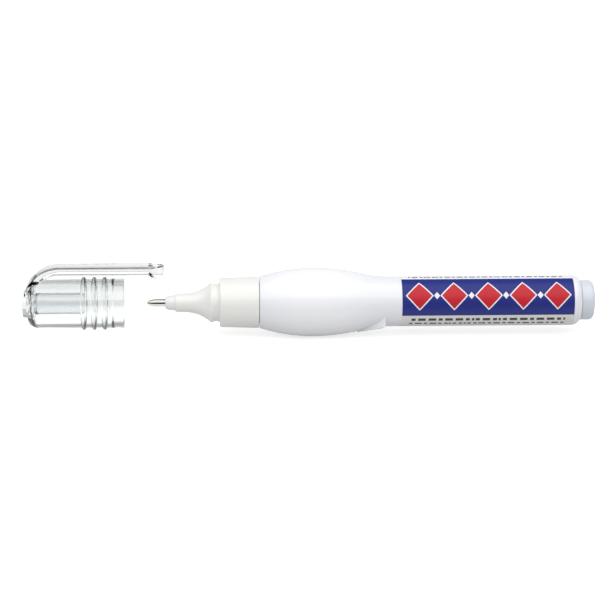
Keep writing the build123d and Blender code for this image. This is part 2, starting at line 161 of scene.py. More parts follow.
def ease(rows, steps=7):
    """Closed outline of (x, r, rounding) rows with each corner eased by a parabola
    (1-t)^2 A + 2t(1-t) P + t^2 B, where A and B lie on the two runs, one rounding from the corner P."""
    rows = np.asarray(rows, float)
    corner, reach = rows[:, :2], rows[:, 2]
    to_last, to_next = np.roll(corner, 1, 0) - corner, np.roll(corner, -1, 0) - corner
    last_len, next_len = np.hypot(*to_last.T), np.hypot(*to_next.T)
    reach = np.minimum(reach, 0.45 * np.minimum(last_len, next_len))
    a = corner + to_last * (reach / np.maximum(last_len, 1e-9))[:, None]
    b = corner + to_next * (reach / np.maximum(next_len, 1e-9))[:, None]
    t = np.linspace(0, 1, steps)[None, :, None]
    eased = (1 - t) ** 2 * a[:, None] + 2 * t * (1 - t) * corner[:, None] + t**2 * b[:, None]
    eased = eased.reshape(-1, 2)
    return eased[np.hypot(*(np.roll(eased, -1, 0) - eased).T) > 1e-5]


def gather(points, long_run=0.8, margin=0.04):
    """Add points to every run longer than long_run: one margin from each end, and three between."""
    step = np.roll(points, -1, 0) - points
    length = np.hypot(*step.T)
    share = np.minimum(margin / np.maximum(length, 1e-9), 0.2)
    zero, half = np.zeros_like(share), np.full_like(share, 0.5)
    places = np.stack([zero, share, half / 2, half, 1.5 * half, 1 - share], 1)
    dense = points[:, None] + places[..., None] * step[:, None]
    kept = (places == 0) | (length > long_run)[:, None]
    return dense[kept]


def bends(points):
    """Marks for the shader: how far each point is a convex edge, and how far a hollow corner, from 0 to 1,
    by the turn of the outline per millimetre."""
    before, after = points - np.roll(points, 1, 0), np.roll(points, -1, 0) - points
    turn = np.arctan2(before[:, 0] * after[:, 1] - before[:, 1] * after[:, 0], (before * after).sum(1))
    curve = turn / (0.5 * (np.hypot(*before.T) + np.hypot(*after.T)))
    calm, spread = 0.5, 2.5
    return np.clip((-curve - calm) / spread, 0, 1), np.clip((curve - calm) / spread, 0, 1)


# %% [markdown]
# ## From arrays to meshes
#
# A grid of points becomes a mesh in one go: numpy works out all vertices and all quads, and
# Blender only stores them. Rows that lie on the axis fall together, so doubles are merged,
# which closes the poles.


# %% Mesh helpers
def grid_quads(rows, columns, wrap_rows, wrap_columns):
    """Index rows of the quads of a grid, joined round where wrap is true."""
    i, j = np.meshgrid(
        np.arange(rows - (not wrap_rows)), np.arange(columns - (not wrap_columns)), indexing="ij"
    )
    i2, j2 = (i + 1) % rows, (j + 1) % columns
    quads = np.stack([i * columns + j, i * columns + j2, i2 * columns + j2, i2 * columns + j], -1)
    return quads.reshape(-1, 4)


def write_mesh(name, points, faces, marks):
    """Object from points in millimetres, faces as index rows and marks, each of them one value for all points
    or one value per point."""
    mesh = bpy.data.meshes.new(name)
    mesh.from_pydata((np.asarray(points) * mm).tolist(), [], [list(face) for face in faces])
    for mark, values in marks.items():
        layer = mesh.attributes.new(mark, "FLOAT", "POINT")
        layer.data.foreach_set("value", np.full(len(points), values, np.float32))
    piece = bpy.data.objects.new(name, mesh)
    scene.collection.objects.link(piece)
    return piece


def close_up(piece, sharp=40.0):
    """Merge doubles, turn the faces outwards, and shade smooth except over sharp edges."""
    work = bmesh.new()
    work.from_mesh(piece.data)
    bmesh.ops.remove_doubles(work, verts=work.verts, dist=1e-4 * mm)
    bmesh.ops.recalc_face_normals(work, faces=work.faces)
    work.to_mesh(piece.data)
    work.free()
    piece.data.shade_smooth()
    piece.data.set_sharp_from_angle(angle=radians(sharp))
    return piece


def turned(name, rows, sides=192, from_angle=0.0, sweep=360.0):
    """Outline turned about the pen's axis: point (i, j) is x_i, r_i cos(a_j), axis + r_i sin(a_j).
    A sweep under a full turn gets flat ends."""
    outline = gather(ease(rows))
    area = (outline[:, 0] * np.roll(outline[:, 1], -1) - np.roll(outline[:, 0], -1) * outline[:, 1]).sum()
    outline = outline[:: 1 if area < 0 else -1]
    whole = sweep == 360.0
    angle = radians(from_angle) + np.radians(sweep) * np.linspace(0, 1, sides, endpoint=not whole)
    x, r = outline.T
    points = np.stack(
        np.broadcast_arrays(x[:, None], r[:, None] * np.cos(angle), axis_z + r[:, None] * np.sin(angle)), -1
    )
    faces = grid_quads(len(x), sides, True, whole).tolist()
    if not whole:
        ring = np.arange(len(x)) * sides
        faces += [ring[::-1].tolist(), (ring + sides - 1).tolist()]
    edge, hollow = bends(outline)
    marks = {"edge": np.repeat(edge, sides), "hollow": np.repeat(hollow, sides)}
    if not whole:
        marks["along"] = np.repeat(x - x.min(), sides)
        marks["around"] = np.tile((angle - angle.mean()) * r.max(), len(x))
    piece = close_up(write_mesh(name, points.reshape(-1, 3), faces, marks))
    print(f"{name}: {len(outline)} outline points, {len(piece.data.polygons)} faces")
    return piece


def finish_piece(piece, body, slot, *nodes):
    """Let a piece ride on its body and stand for its nodes, which are hidden. The slot is not used."""
    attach(piece, body)
    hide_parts(*nodes)
    return piece


# %% [markdown]
# ## Squeeze barrel
#
# The barrel is blown or moulded in one soft piece. Its bulb rises from the seam in one arc,
# and falls to the straight barrel in two arcs that meet at the same slope. A subdivision
# cage could be pulled to this shape by eye, but arcs keep the reflections as calm as they
# are on the real thing, so the outline uses the same arcs as the tooling would.

# %% Squeeze barrel
seam_gap = 0.15
bulb_front_len = 16.0
bulb_tail_len = 22.3
crowned_share = 0.69
bulb_wall = 0.9
barrel_wall = 1.5
label_film = 0.08
rear_shoulder_len = 2.35
rear_draw_in, rear_rim = 1.3, 1.0
rear_round_len, rear_round_r = 0.1, 0.12
mouth_lead, wall_lead = 1.0, 4.0
neck_r = 6.2
neck_bore_r = 4.8

rear_edge_r = barrel_r - rear_draw_in
mouth_r = rear_edge_r - rear_rim
seam_x = section_end_x + seam_gap
crown_x = seam_x + bulb_front_len
tail_x = crown_x + bulb_tail_len
shoulder_x = barrel_end_x - rear_shoulder_len
turn_x = crown_x + crowned_share * bulb_tail_len
turn_r = bulb_r - crowned_share * (bulb_r - barrel_r)


def bulb(inset, steps):
    """The bulb's three arcs from the seam to the straight barrel, one inset further in."""
    front = tangent_arc((crown_x, bulb_r - inset), (seam_x + inset, seam_r - inset), (-1, 0), steps)[::-1]
    crowned = tangent_arc((crown_x, bulb_r - inset), (turn_x, turn_r - inset), (1, 0), steps)
    tail = tangent_arc((tail_x, barrel_r - inset), (turn_x, turn_r - inset), (-1, 0), steps)[::-1]
    return np.concatenate([front, crowned[1:], tail[1:]])


rear_round = barrel_end_x - rear_round_len, rear_edge_r + rear_round_r
rear_shoulder = tangent_arc((shoulder_x, barrel_r), rear_round, (1, 0), 14)
barrel_rows = [
    (neck_x, neck_bore_r, 0.1),
    (neck_x, neck_r, 0.3),
    (seam_x, neck_r, 0.1),
    (seam_x, seam_r, 0.22),
    *plain(bulb(0, 34)[1:]),
    (label_x, barrel_r, 0.03),
    (label_x, barrel_r - label_film, 0.02),
    (label_end_x, barrel_r - label_film, 0.02),
    (label_end_x, barrel_r, 0.03),
    *plain(rear_shoulder),
    (barrel_end_x, rear_edge_r, 0.12),
    (barrel_end_x, mouth_r, 0.1),
    (plug_x, mouth_r, 0.1),
    (plug_x - mouth_lead, barrel_r - barrel_wall, 0.1),
    (tail_x + wall_lead, barrel_r - barrel_wall, 0.1),
    *plain(bulb(bulb_wall, 12)[::-1]),
    (seam_x + bulb_wall, neck_bore_r, 0.1),
]
barrel = finish_piece(turned("barrel", barrel_rows, 224), "pen", "barrel_white", "squeeze_barrel")

# %% [markdown]
# ### Bulb painted paler
#
# The bulb's wall is thinner than the barrel's, so that it gives under the fingers. Its finish is
# painted a shade paler, a painted highlight that stands for the brighter light on its crown. A
# second colour could be painted on by hand. Here a mark on each point says how far it bulges,
# from 0 on the straight barrel to 1 on the crown, for the finish to read.

# %% Bulb painted paler
barrel_points = np.empty(3 * len(barrel.data.vertices))
barrel.data.vertices.foreach_get("co", barrel_points)
barrel_y, barrel_z = barrel_points.reshape(-1, 3).T[1:] / mm
bulge = (np.hypot(barrel_y, barrel_z - axis_z) - barrel_r) / (bulb_r - barrel_r)
# The mark drives a paler colour painted on the bulb: a painted highlight for its brighter crown.
barrel.data.attributes.new("bulb_highlight", "FLOAT", "POINT").data.foreach_set("value", np.clip(bulge, 0, 1))
print(f"thin wall: {(bulge > 0).sum()} of {len(bulge)} points stand out past the straight barrel")

# %% [markdown]
# ### Guide lug
#
# A small wedge is moulded under the tail of the bulb: a sloping triangular flat, with
# straight walls down to the barrel and a square end. A cube could be pushed into this shape
# by hand, but a prism of six points is exact, and a narrow bevel gives it the eased edges
# that catch the light.

# %% Guide lug
lug_roll = radians(250.0)
lug_end_gap, lug_len = 1.0, 8.1
lug_half_width = 5.7
lug_end_height, lug_apex_height = barrel_r + 0.45, 9.2
lug_depth = 3.55
lug_ease = 0.16

lug_out = np.array([0.0, cos(lug_roll), sin(lug_roll)])
lug_across = np.array([0.0, -sin(lug_roll), cos(lug_roll)])
lug_base = np.array([tail_x - lug_end_gap, 0.0, axis_z])
lug_flat = np.stack(
    [
        lug_base + lug_end_height * lug_out + lug_half_width * lug_across,
        lug_base + lug_end_height * lug_out - lug_half_width * lug_across,
        lug_base + lug_apex_height * lug_out - (lug_len, 0.0, 0.0),
    ]
)
lug_points = np.concatenate([lug_flat, lug_flat - lug_depth * lug_out])
lug_faces = [(0, 1, 2), (3, 5, 4), (0, 3, 4, 1), (1, 4, 5, 2), (2, 5, 3, 0)]
lug = write_mesh("guide_lug", lug_points, lug_faces, {"edge": 1.0, "hollow": 0.0})
close_up(lug)
eased_edges = lug.modifiers.new("eased edges", "BEVEL")
eased_edges.width, eased_edges.segments, eased_edges.limit_method = lug_ease * mm, 3, "ANGLE"
finish_piece(lug, "pen", "barrel_white", "squeeze_barrel")
print("guide lug:", len(lug.data.polygons), "faces before its bevel")

# %% [markdown]
# ## Label film
#
# The print sits on a thin film wrapped round the barrel, flush in a shallow seat, with a
# bare strip behind where its ends don't meet. A plane could be bent by a modifier, but the
# turning from before, stopped short of a full turn, follows the seat exactly. Each point also
# remembers how far along and around the film it lies, so that the print can be drawn in
# millimetres.

# %% Label film
seam_bare_width = 3.0
panel_roll = 150.3
film_end_gap, film_glue = 0.03, 0.01
film_sweep = 360.0 - np.degrees(seam_bare_width / barrel_r)
film_rows = [
    (label_x + film_end_gap, barrel_r - label_film + film_glue, 0.0),
    (label_x + film_end_gap, barrel_r, 0.02),
    (label_end_x - film_end_gap, barrel_r, 0.02),
    (label_end_x - film_end_gap, barrel_r - label_film + film_glue, 0.0),
]
film = turned("label_film", film_rows, 200, panel_roll - film_sweep / 2, film_sweep)
finish_piece(film, "pen", "label_film", "barrel_label")

# %% [markdown]
# ## End plug
#
# A hard cup is pressed into the rear mouth. Its head stands off the barrel by a fine groove,
# which shows as a thin dark line, and its edge is well rounded. A bevelled cylinder comes
# close, but in an outline the groove and the edge are plain numbers.

# %% End plug
plug_groove, plug_groove_depth = 0.2, 0.4
plug_wall, plug_web = 1.1, 2.6
plug_fit, plug_draft = 0.02, 0.06
plug_edge_len, plug_edge_r = 1.3, 1.0

edge_middle = pen_end_x - plug_edge_len, plug_r - plug_edge_r
plug_edge = oval_arc(*edge_middle, plug_edge_len, plug_edge_r, pi / 2, 0, 16)
plug_head = [
    (barrel_end_x + plug_fit, plug_r - plug_groove_depth, 0.05),
    (barrel_end_x + plug_groove, plug_r - plug_groove_depth, 0.05),
    (barrel_end_x + plug_groove, plug_r - plug_draft, 0.15),
    *plain(plug_edge),
    (pen_end_x, 0.0, 0.0),
]
plug_cup = [
    (pen_end_x - plug_web, 0.0, 0.0),
    (pen_end_x - plug_web, mouth_r - plug_wall, 0.3),
    (plug_x, mouth_r - plug_wall, 0.1),
    (plug_x, mouth_r - plug_fit, 0.4),
    (barrel_end_x + plug_fit, mouth_r - plug_fit, 0.0),
]
plug = finish_piece(turned("rear_plug", plug_head + plug_cup), "pen", "plug_white", "end_plug")

# %% [markdown]
# ## Front section
#
# This is the part that is held near the tip: a sleeve that widens a little towards the bulb,
# a step that the cap seats on, a waisted collar that the cap grips, and a cone that flares
# like a trumpet. A flare that is smoothed from a few rings shows ripples in the light, so
# this one is a single arc that leaves the thin end at a slight taper.

# %% Front section
cone_len, collar_len = 10.4, 2.8
sleeve_draft = 0.35
cone_r, cone_taper_len, cone_taper = 2.7, 3.4, radians(3.2)
collar_r, collar_ridge, collar_waist, collar_root_drop = 5.95, 0.15, 0.33, 0.09
ridge_rise_len, ridge_len = 0.12, 0.35
stem_r, chamber_r = 2.0, 1.3
section_fit = 0.02

ridge_x = front_x + cone_len
seat_x = ridge_x + collar_len
taper_end = (front_x + cone_taper_len, cone_r + cone_taper_len * tan(cone_taper))
flare = tangent_arc(taper_end, (ridge_x, collar_r - collar_ridge), (cos(cone_taper), sin(cone_taper)), 40)
waist_x = np.linspace(ridge_x + ridge_len, seat_x, 22)
waist_turn = (waist_x - waist_x[0]) / (seat_x - waist_x[0])
waist_dip = collar_waist - collar_root_drop / 2
waist_r = collar_r - collar_root_drop * waist_turn - waist_dip * np.sin(pi * waist_turn)
section_rows = [
    (front_x, stem_r, 0.05),
    (front_x, cone_r, 0.16),
    *plain(flare),
    (ridge_x + ridge_rise_len, collar_r, 0.08),
    *plain(np.column_stack([waist_x, waist_r])),
    (seat_x, seam_r - sleeve_draft, 0.42),
    (section_end_x, seam_r, 0.24),
    (section_end_x, neck_r + section_fit, 0.05),
    (neck_x, neck_r + section_fit, 0.05),
    (neck_x, neck_bore_r, 0.1),
    (stem_end_x, stem_r + section_fit, 0.05),
]
section = finish_piece(turned("front_sleeve", section_rows, 208), "pen", "section_white", "front_section")

# %% [markdown]
# ## Tip holder
#
# A small nose carries the metal tip. Its stem runs back through the cone and holds the
# spring's chamber. The nose steps in from the cone and ends in a bevel round the metal. Cones
# and tubes could be stacked up, but one closed outline is one skin, inside and out.

# %% Tip holder
tip_seat_len = 6.2
nose_lip, nose_bevel_len, nose_taper = 0.62, 1.05, 0.2
nose_fit = 0.01

tip_seat_x = nose_x + tip_seat_len + nose_fit
nose_rows = [
    (nose_x, tip_r + nose_fit, 0.05),
    (nose_x, tip_r + nose_lip, 0.25),
    (nose_x + nose_bevel_len, nose_r - nose_taper, 0.4),
    (front_x, nose_r, 0.06),
    (front_x, stem_r - nose_fit, 0.05),
    (stem_end_x, stem_r - nose_fit, 0.1),
    (stem_end_x, chamber_r, 0.1),
    (tip_seat_x, chamber_r, 0.05),
    (tip_seat_x, tip_r + nose_fit, 0.05),
]
holder = finish_piece(turned("nose_holder", nose_rows, 128), "pen", "holder_white", "tip_holder")

# %% [markdown]
# ## Metal tip and ball
#
# The tip is a drawn tube whose end is turned to a cone and then rolled over the ball. The
# lip is thin, a tenth of a millimetre, and the ball stands out of it by a third of its
# diameter. The ball itself is half a circle of outline, turned, so that it has poles on the
# axis and no seam.

# %% Metal tip and ball
tip_cone_len, tip_wall, rim_wall = 2.5, 0.4, 0.12
cone_fullness, bore_lead = 0.85, 0.6
ball_clearance, lip_ahead, valve_room = 0.02, 0.2, 0.3
needle_bore_r = 0.38

ball_middle = (ball_x + ball_rear_x) / 2
socket_r = ball_r + ball_clearance
lip_r = sqrt(socket_r**2 - lip_ahead**2)
rim_r = lip_r + rim_wall
cone_root_x = rim_x + tip_cone_len

lip_start = atan2(lip_r, -lip_ahead)
lip = oval_arc(ball_middle, 0, socket_r, socket_r, lip_start, pi / 2, 8)
seat_end = atan2(needle_bore_r, sqrt(socket_r**2 - needle_bore_r**2))
seat = oval_arc(ball_middle + valve_room, 0, socket_r, socket_r, pi / 2, seat_end, 8)
cone_swell = np.linspace(0, 1, 18)[1:]
cone_side = np.column_stack(
    [
        rim_x + tip_cone_len * cone_swell,
        rim_r + (tip_r - rim_r) * np.sin(cone_swell * pi / 2) ** cone_fullness,
    ]
)
tip_rows = [
    *plain(lip),
    *plain(seat),
    (cone_root_x + bore_lead, needle_bore_r, 0.05),
    (cone_root_x + 2 * bore_lead, tip_r - tip_wall, 0.05),
    (tip_rear_x, tip_r - tip_wall, 0.05),
    (tip_rear_x, tip_r, 0.05),
    *plain(cone_side[::-1]),
    (rim_x, rim_r, 0.05),
]
tip = finish_piece(turned("writing_tip", tip_rows, 128), "pen", "tip_metal", "metal_tip")

ball_rows = plain(oval_arc(ball_middle, 0, ball_r, ball_r, pi, 0, 40))
ball = finish_piece(turned("writing_ball", ball_rows, 64), "ball", "ball_metal", "tip_ball")

# %% [markdown]
# ## Needle spring
#
# Inside the stem a fine spring pushes the needle and ball against the lip. A curve with a
# bevel would do, but the frame squeezes this piece when the tip is pressed, which needs a
# mesh. So a circle is carried along a helix: the middle line is a cos, a sin and a pitch,
# and the circle lies in the two directions square to the wire.

# %% Needle spring
spring_low, spring_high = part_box("needle_spring")
spring_wire, spring_turns = 0.25, 5.5
coil_steps, wire_sides = 240, 14
spring_r = (spring_high.y - spring_low.y) / 2 / mm - spring_wire / 2
coil_ends = spring_low.x / mm + spring_wire / 2, spring_high.x / mm - spring_wire / 2

coil_angle = np.linspace(0, 2 * pi * spring_turns, coil_steps)[:, None]
wire_angle = np.linspace(0, 2 * pi, wire_sides, endpoint=False)[None, :]
coil_x = coil_ends[0] + (coil_ends[1] - coil_ends[0]) * coil_angle / (2 * pi * spring_turns)
coil_reach = spring_r + spring_wire / 2 * np.cos(wire_angle)
spring_points = np.stack(
    [
        coil_x + spring_wire / 2 * np.sin(wire_angle),
        coil_reach * np.cos(coil_angle),
        axis_z + coil_reach * np.sin(coil_angle),
    ],
    -1,
).reshape(-1, 3)
wire_end = np.arange(wire_sides)
spring_faces = grid_quads(coil_steps, wire_sides, False, True).tolist()
spring_faces += [wire_end.tolist(), (wire_end + (coil_steps - 1) * wire_sides).tolist()]
spring = write_mesh("valve_spring", spring_points, spring_faces, {"edge": 0.0, "hollow": 0.0})
close_up(spring, 60.0)
finish_piece(spring, "pen", "valve_steel", "needle_spring")
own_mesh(spring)
print(f"valve spring: {spring_turns} turns of {spring_wire} mm wire")

# %% [markdown]
# ## Clear cap
#
# The cap is one clear moulding: a shell with a snug mouth, three ring beads to grip, a thick
# closed end, and a pocket clip that leaves the closed end, bends over and runs back along
# the pen. Clear plastic shows its inside, so shell and clip have to be one skin with no
# walls left inside: the two are worked out apart and joined by an exact union.

# %% Cap shell
cap_off = 28.3
cap_bore_r, cap_land_r, cap_mouth_r, cap_end_r = 6.45, 6.0, 7.45, 7.2
cap_depth, cap_end_wall = 26.85, 1.8
cap_pad_r, cap_corner_r = 4.1, 3.0
mouth_chamfer, land_len, land_slope_len = 0.3, 3.0, 0.6
ring_bead_r, ring_first, ring_pitch, ring_count = 0.7, 5.8, 3.1, 3
socket_depth = 2.0

cap_mouth_x = seat_x - cap_off
cap_floor_x = cap_mouth_x - cap_depth
cap_end_x = cap_floor_x - cap_end_wall
ring_r = cap_bead_r - ring_bead_r


def cap_outside(x):
    """Radius of the cap's drafted outside, which runs straight from its end's radius to its mouth's."""
    return cap_end_r + (cap_mouth_r - cap_end_r) * (x - cap_end_x) / (cap_mouth_x - cap_end_x)


def ring_bead(x, steps=18):
    """Arc of a ring bead, from where it leaves the cap's outside to where it meets it again."""
    low = np.arcsin((cap_outside(x) - ring_r) / ring_bead_r)
    return oval_arc(x, ring_r, ring_bead_r, ring_bead_r, pi - low, low, steps)


corner_middle = cap_end_x + cap_corner_r, cap_end_r - cap_corner_r
end_corner = oval_arc(*corner_middle, cap_corner_r, cap_corner_r, pi, pi / 2, 22)
ring_places = [cap_mouth_x - ring_first - ring_pitch * n for n in reversed(range(ring_count))]
shell_rows = [
    (cap_x, 0.0, 0.0),
    (cap_x, cap_pad_r, 0.6),
    (cap_end_x, cap_pad_r, 0.12),
    *plain(end_corner),
    *plain(np.concatenate([ring_bead(x) for x in ring_places])),
    (cap_mouth_x, cap_mouth_r, 0.3),
    (cap_mouth_x, cap_land_r + mouth_chamfer, 0.12),
    (cap_mouth_x - mouth_chamfer, cap_land_r, 0.12),
    (cap_mouth_x - land_len, cap_land_r, 0.2),
    (cap_mouth_x - land_len - land_slope_len, cap_bore_r, 0.2),
    (cap_floor_x, cap_bore_r, 1.6),
    (cap_floor_x, seal_r, 0.1),
    (cap_floor_x - socket_depth, seal_r, 0.2),
    (cap_floor_x - socket_depth, 0.0, 0.0),
]
shell = turned("clear_cap", shell_rows, 192)

# %% [markdown]
# ### Pocket clip
#
# The clip is a band: an outer line and an inner line, paired point by point, with a soft
# rectangle of section between them. The section is a superellipse, |y/w|^n + |h|^n = 1, which
# is flat on its faces and rounded at its corners. Near the free end its half width w follows
# a half circle, so the end is round seen from above, and the inner line dips for the bead.

# %% Clip lines
clip_thickness, clip_half_width = 2.4, 3.1
clip_bend_start = 0.4
bead_len, bead_height = 4.4, 1.2
clip_squareness, section_sides = 7.0, 72
leg_start, leg_inset = -1.0, 0.03
leg_cover, root_cover, seal_cover = 0.3, 0.15, 0.2

clip_under = clip_top - clip_thickness
bend_r = clip_top - clip_bend_start
bend_x = cap_x + bend_r
clip_round_x = clip_end_x - clip_half_width

leg_h = np.linspace(leg_start, clip_bend_start, 6)[:-1]
bend_angle = np.linspace(0, pi / 2, 56)
run_x = np.linspace(bend_x, clip_round_x, 60)[1:]
end_angle = np.linspace(0, pi / 2, 26)[1:]
end_x = clip_round_x + clip_half_width * np.sin(end_angle)
straight_x = np.concatenate([run_x, end_x])

outer_bend_x = bend_x - (bend_r - leg_inset) * np.cos(bend_angle)
outer_bend_h = clip_bend_start + bend_r * np.sin(bend_angle)
outer_x = np.concatenate([np.full_like(leg_h, cap_x + leg_inset), outer_bend_x, straight_x])
outer_h = np.concatenate([leg_h, outer_bend_h, np.full_like(straight_x, clip_top)])

inner_bend_r = bend_r - clip_thickness
root_r = cap_bore_r + root_cover
root_angle = np.arcsin((root_r - clip_bend_start) / inner_bend_r)
root_x = bend_x - inner_bend_r * cos(root_angle)
buried = bend_angle < root_angle
buried_at = radians(12), radians(25), root_angle
buried_x = np.interp(bend_angle, buried_at, (cap_end_x - leg_cover, cap_floor_x - root_cover, root_x))
buried_h = np.interp(bend_angle, (0, *buried_at), (clip_bend_start, seal_r + seal_cover, root_r, root_r))
inner_bend_x = np.where(buried, buried_x, bend_x - inner_bend_r * np.cos(bend_angle))
inner_bend_h = np.where(buried, buried_h, clip_bend_start + inner_bend_r * np.sin(bend_angle))

bead_arc_r = (bead_len**2 / 4 + bead_height**2) / (2 * bead_height)
bead_off = straight_x - (clip_end_x - bead_len / 2)
bead_dip = np.sqrt(np.maximum(bead_arc_r**2 - bead_off**2, 0)) - (bead_arc_r - bead_height)
inner_x = np.concatenate([np.full_like(leg_h, cap_end_x - leg_cover), inner_bend_x, straight_x])
inner_h = np.concatenate([leg_h, inner_bend_h, clip_under - np.clip(bead_dip, 0, None)])
clip_rows = len(inner_x)
full_width = np.full(clip_rows - len(end_angle), clip_half_width)
half_width = np.concatenate([full_width, clip_half_width * np.cos(end_angle)])
print(f"pocket clip: {clip_rows} pairs of points, {clip_end_x - cap_x:.1f} mm long")

# %% Clip band
around = np.linspace(0, 2 * pi, section_sides, endpoint=False)
soft = 2 / clip_squareness
section_y = np.sign(np.cos(around)) * np.abs(np.cos(around)) ** soft
section_t = 0.5 + 0.5 * np.sign(np.sin(around)) * np.abs(np.sin(around)) ** soft
clip_points = np.stack(
    [
        inner_x[:, None] + (outer_x - inner_x)[:, None] * section_t,
        half_width[:, None] * section_y,
        axis_z + inner_h[:, None] + (outer_h - inner_h)[:, None] * section_t,
    ],
    -1,
)
clip_faces = grid_quads(clip_rows, section_sides, False, True).tolist() + [list(range(section_sides))]
corner = np.clip(4 * np.abs(np.sin(2 * around)) - 3, 0, 1)
clip_marks = {"edge": np.tile(corner, clip_rows), "hollow": 0.0}
clip = close_up(write_mesh("clip_band", clip_points.reshape(-1, 3), clip_faces, clip_marks))
print("clip band:", len(clip.data.polygons), "faces")


# %% Shell and clip as one skin
def join_exactly(piece, other):
    """One closed skin round both pieces, by an exact union."""
    union = piece.modifiers.new("union", "BOOLEAN")
    union.operation, union.solver, union.object = "UNION", "EXACT", other
    joined = bpy.data.meshes.new_from_object(piece.evaluated_get(bpy.context.evaluated_depsgraph_get()))
    piece.modifiers.clear()
    piece.data = joined
    bpy.data.objects.remove(other)
    return close_up(piece)


join_exactly(shell, clip)
finish_piece(shell, "cap", "cap_clear", "cap_shell")
print(f"clear cap with its clip: {len(shell.data.polygons)} faces")

# %% [markdown]
# ### Sealing tube
#
# A soft tube is pressed into the cap's end wall, and its mouth closes round the cone to keep
# the tip from drying. Its inner end is a dome, as a rounded moulding pin would leave it. The
# tube could fill its socket, but two clear skins in one place flicker, so a hair of air stays
# between them.

# %% Sealing tube
seal_air = 0.04
seal_wall, seal_floor = 0.45, 1.2

seal_bore_r = seal_r - seal_wall
dome_middle = seal_x + seal_floor + seal_bore_r
dome = oval_arc(dome_middle, 0, seal_bore_r, seal_bore_r, pi / 2, pi, 24)
seal_rows = [
    (seal_x + seal_air, 0.0, 0.0),
    (seal_x + seal_air, seal_r - seal_air, 0.25),
    (seal_mouth_x, seal_r - seal_air, 0.2),
    (seal_mouth_x, seal_bore_r, 0.1),
    *plain(dome),
]
seal = finish_piece(turned("sealing_tube", seal_rows, 144), "cap", "seal_frost", "cap_seal")

# %% [markdown]
# ## Finishes
#
# Each finish is a Principled shader fed by a few shared effects. An effect that several
# materials need is a node group, built once: moulded grain (a fine skin with slow changes of
# tone), and paler edges with painted corner shade (edges a little paler, hollow corners painted
# darker as shade, from the marks that the meshes carry). Values that never change stay on the
# shader's own sockets.


# %% Node helpers
def feed(tree, node, inputs):
    """Give a node its inputs, each of them a value or another node's socket."""
    for key, value in inputs.items():
        if isinstance(value, bpy.types.NodeSocket):
            tree.links.new(value, node.inputs[key])
        else:
            node.inputs[key].default_value = value


def add_node(tree, kind, inputs=None, **settings):
    """A node with its settings and inputs."""
    node = tree.nodes.new(kind)
    for key, value in settings.items():
        setattr(node, key, value)
    feed(tree, node, inputs or {})
    return node


def math_node(tree, operation, *values):
    """Output of a Math node over sockets or numbers."""
    return add_node(tree, "ShaderNodeMath", dict(enumerate(values)), operation=operation).outputs[0]


def mix_colour(tree, share, first, second):
    """Output of a colour Mix node: first where share is 0, second where it is 1."""
    mix = add_node(tree, "ShaderNodeMix", {0: share, 6: first, 7: second}, data_type="RGBA")
    return mix.outputs[2]


def remap(tree, value, low, high, to_low, to_high):
    """Output of a Map Range node."""
    inputs = {"Value": value, "From Min": low, "From Max": high, "To Min": to_low, "To Max": to_high}
    return add_node(tree, "ShaderNodeMapRange", inputs).outputs[0]


def times(tree, first, second):
    """Output of a Math node that multiplies."""
    return math_node(tree, "MULTIPLY", first, second)


def new_group(name, inputs, outputs):
    """Shader node group with sockets of the given kinds, and its input and output nodes."""
    group = bpy.data.node_groups.new(name, "ShaderNodeTree")
    for side, sockets in (("INPUT", inputs), ("OUTPUT", outputs)):
        for socket, kind in sockets.items():
            group.interface.new_socket(socket, in_out=side, socket_type=f"NodeSocket{kind}")
    return group, group.nodes.new("NodeGroupInput"), group.nodes.new("NodeGroupOutput")


# %% Moulded grain
grain, grain_in, grain_out = new_group(
    "moulded grain",
    {"Place": "Vector", "Grain Per Metre": "Float", "Tone Per Metre": "Float"},
    {"Height": "Float", "Tone": "Float"},
)
for result, scale, detail in (("Height", "Grain Per Metre", 3.0), ("Tone", "Tone Per Metre", 4.0)):
    noise_inputs = {"Vector": grain_in.outputs["Place"], "Scale": grain_in.outputs[scale], "Detail": detail}
    noise = add_node(grain, "ShaderNodeTexNoise", noise_inputs)
    feed(grain, grain_out, {result: noise.outputs["Fac"]})

# %% Paler edges and painted corner shade
edges_and_corner_shade_colours = dict.fromkeys(("Colour", "Edge Colour", "Corner Shade Colour"), "Color")
edges_and_corner_shade_amounts = dict.fromkeys(("Edge", "Hollow", "Tone", "Amount"), "Float")
edges_and_corner_shade, edges_and_corner_shade_in, edges_and_corner_shade_out = new_group(
    "paler edges, painted corner shade", edges_and_corner_shade_colours | edges_and_corner_shade_amounts, {"Colour": "Color"}
)
tone_range = 0.3, 0.7
patchy = remap(edges_and_corner_shade, edges_and_corner_shade_in.outputs["Tone"], *tone_range, 0.4, 1.0)
paler_edge = times(edges_and_corner_shade, edges_and_corner_shade_in.outputs["Edge"], edges_and_corner_shade_in.outputs["Amount"])
paler_edge = times(edges_and_corner_shade, paler_edge, patchy)
# Hollow corners are painted darker: painted shade.
corner_shade = times(edges_and_corner_shade, edges_and_corner_shade_in.outputs["Hollow"], edges_and_corner_shade_in.outputs["Amount"])
edged = mix_colour(edges_and_corner_shade, paler_edge, edges_and_corner_shade_in.outputs["Colour"], edges_and_corner_shade_in.outputs["Edge Colour"])
corner_shaded = mix_colour(edges_and_corner_shade, corner_shade, edged, edges_and_corner_shade_in.outputs["Corner Shade Colour"])
feed(edges_and_corner_shade, edges_and_corner_shade_out, {"Colour": corner_shaded})
print("effects:", ", ".join(g.name for g in bpy.data.node_groups))

# %% [markdown]
# ### Moulded plastic
#
# Each white of the pen is a plastic of its own: cool on the barrel, warm on the front section.
# A plain colour would look drawn. The two effects break it up so little that they are felt
# more than seen, though one of them also paints shade into hollow corners. The bulb is painted a
# shade paler, a painted highlight for the brighter light on its crown.


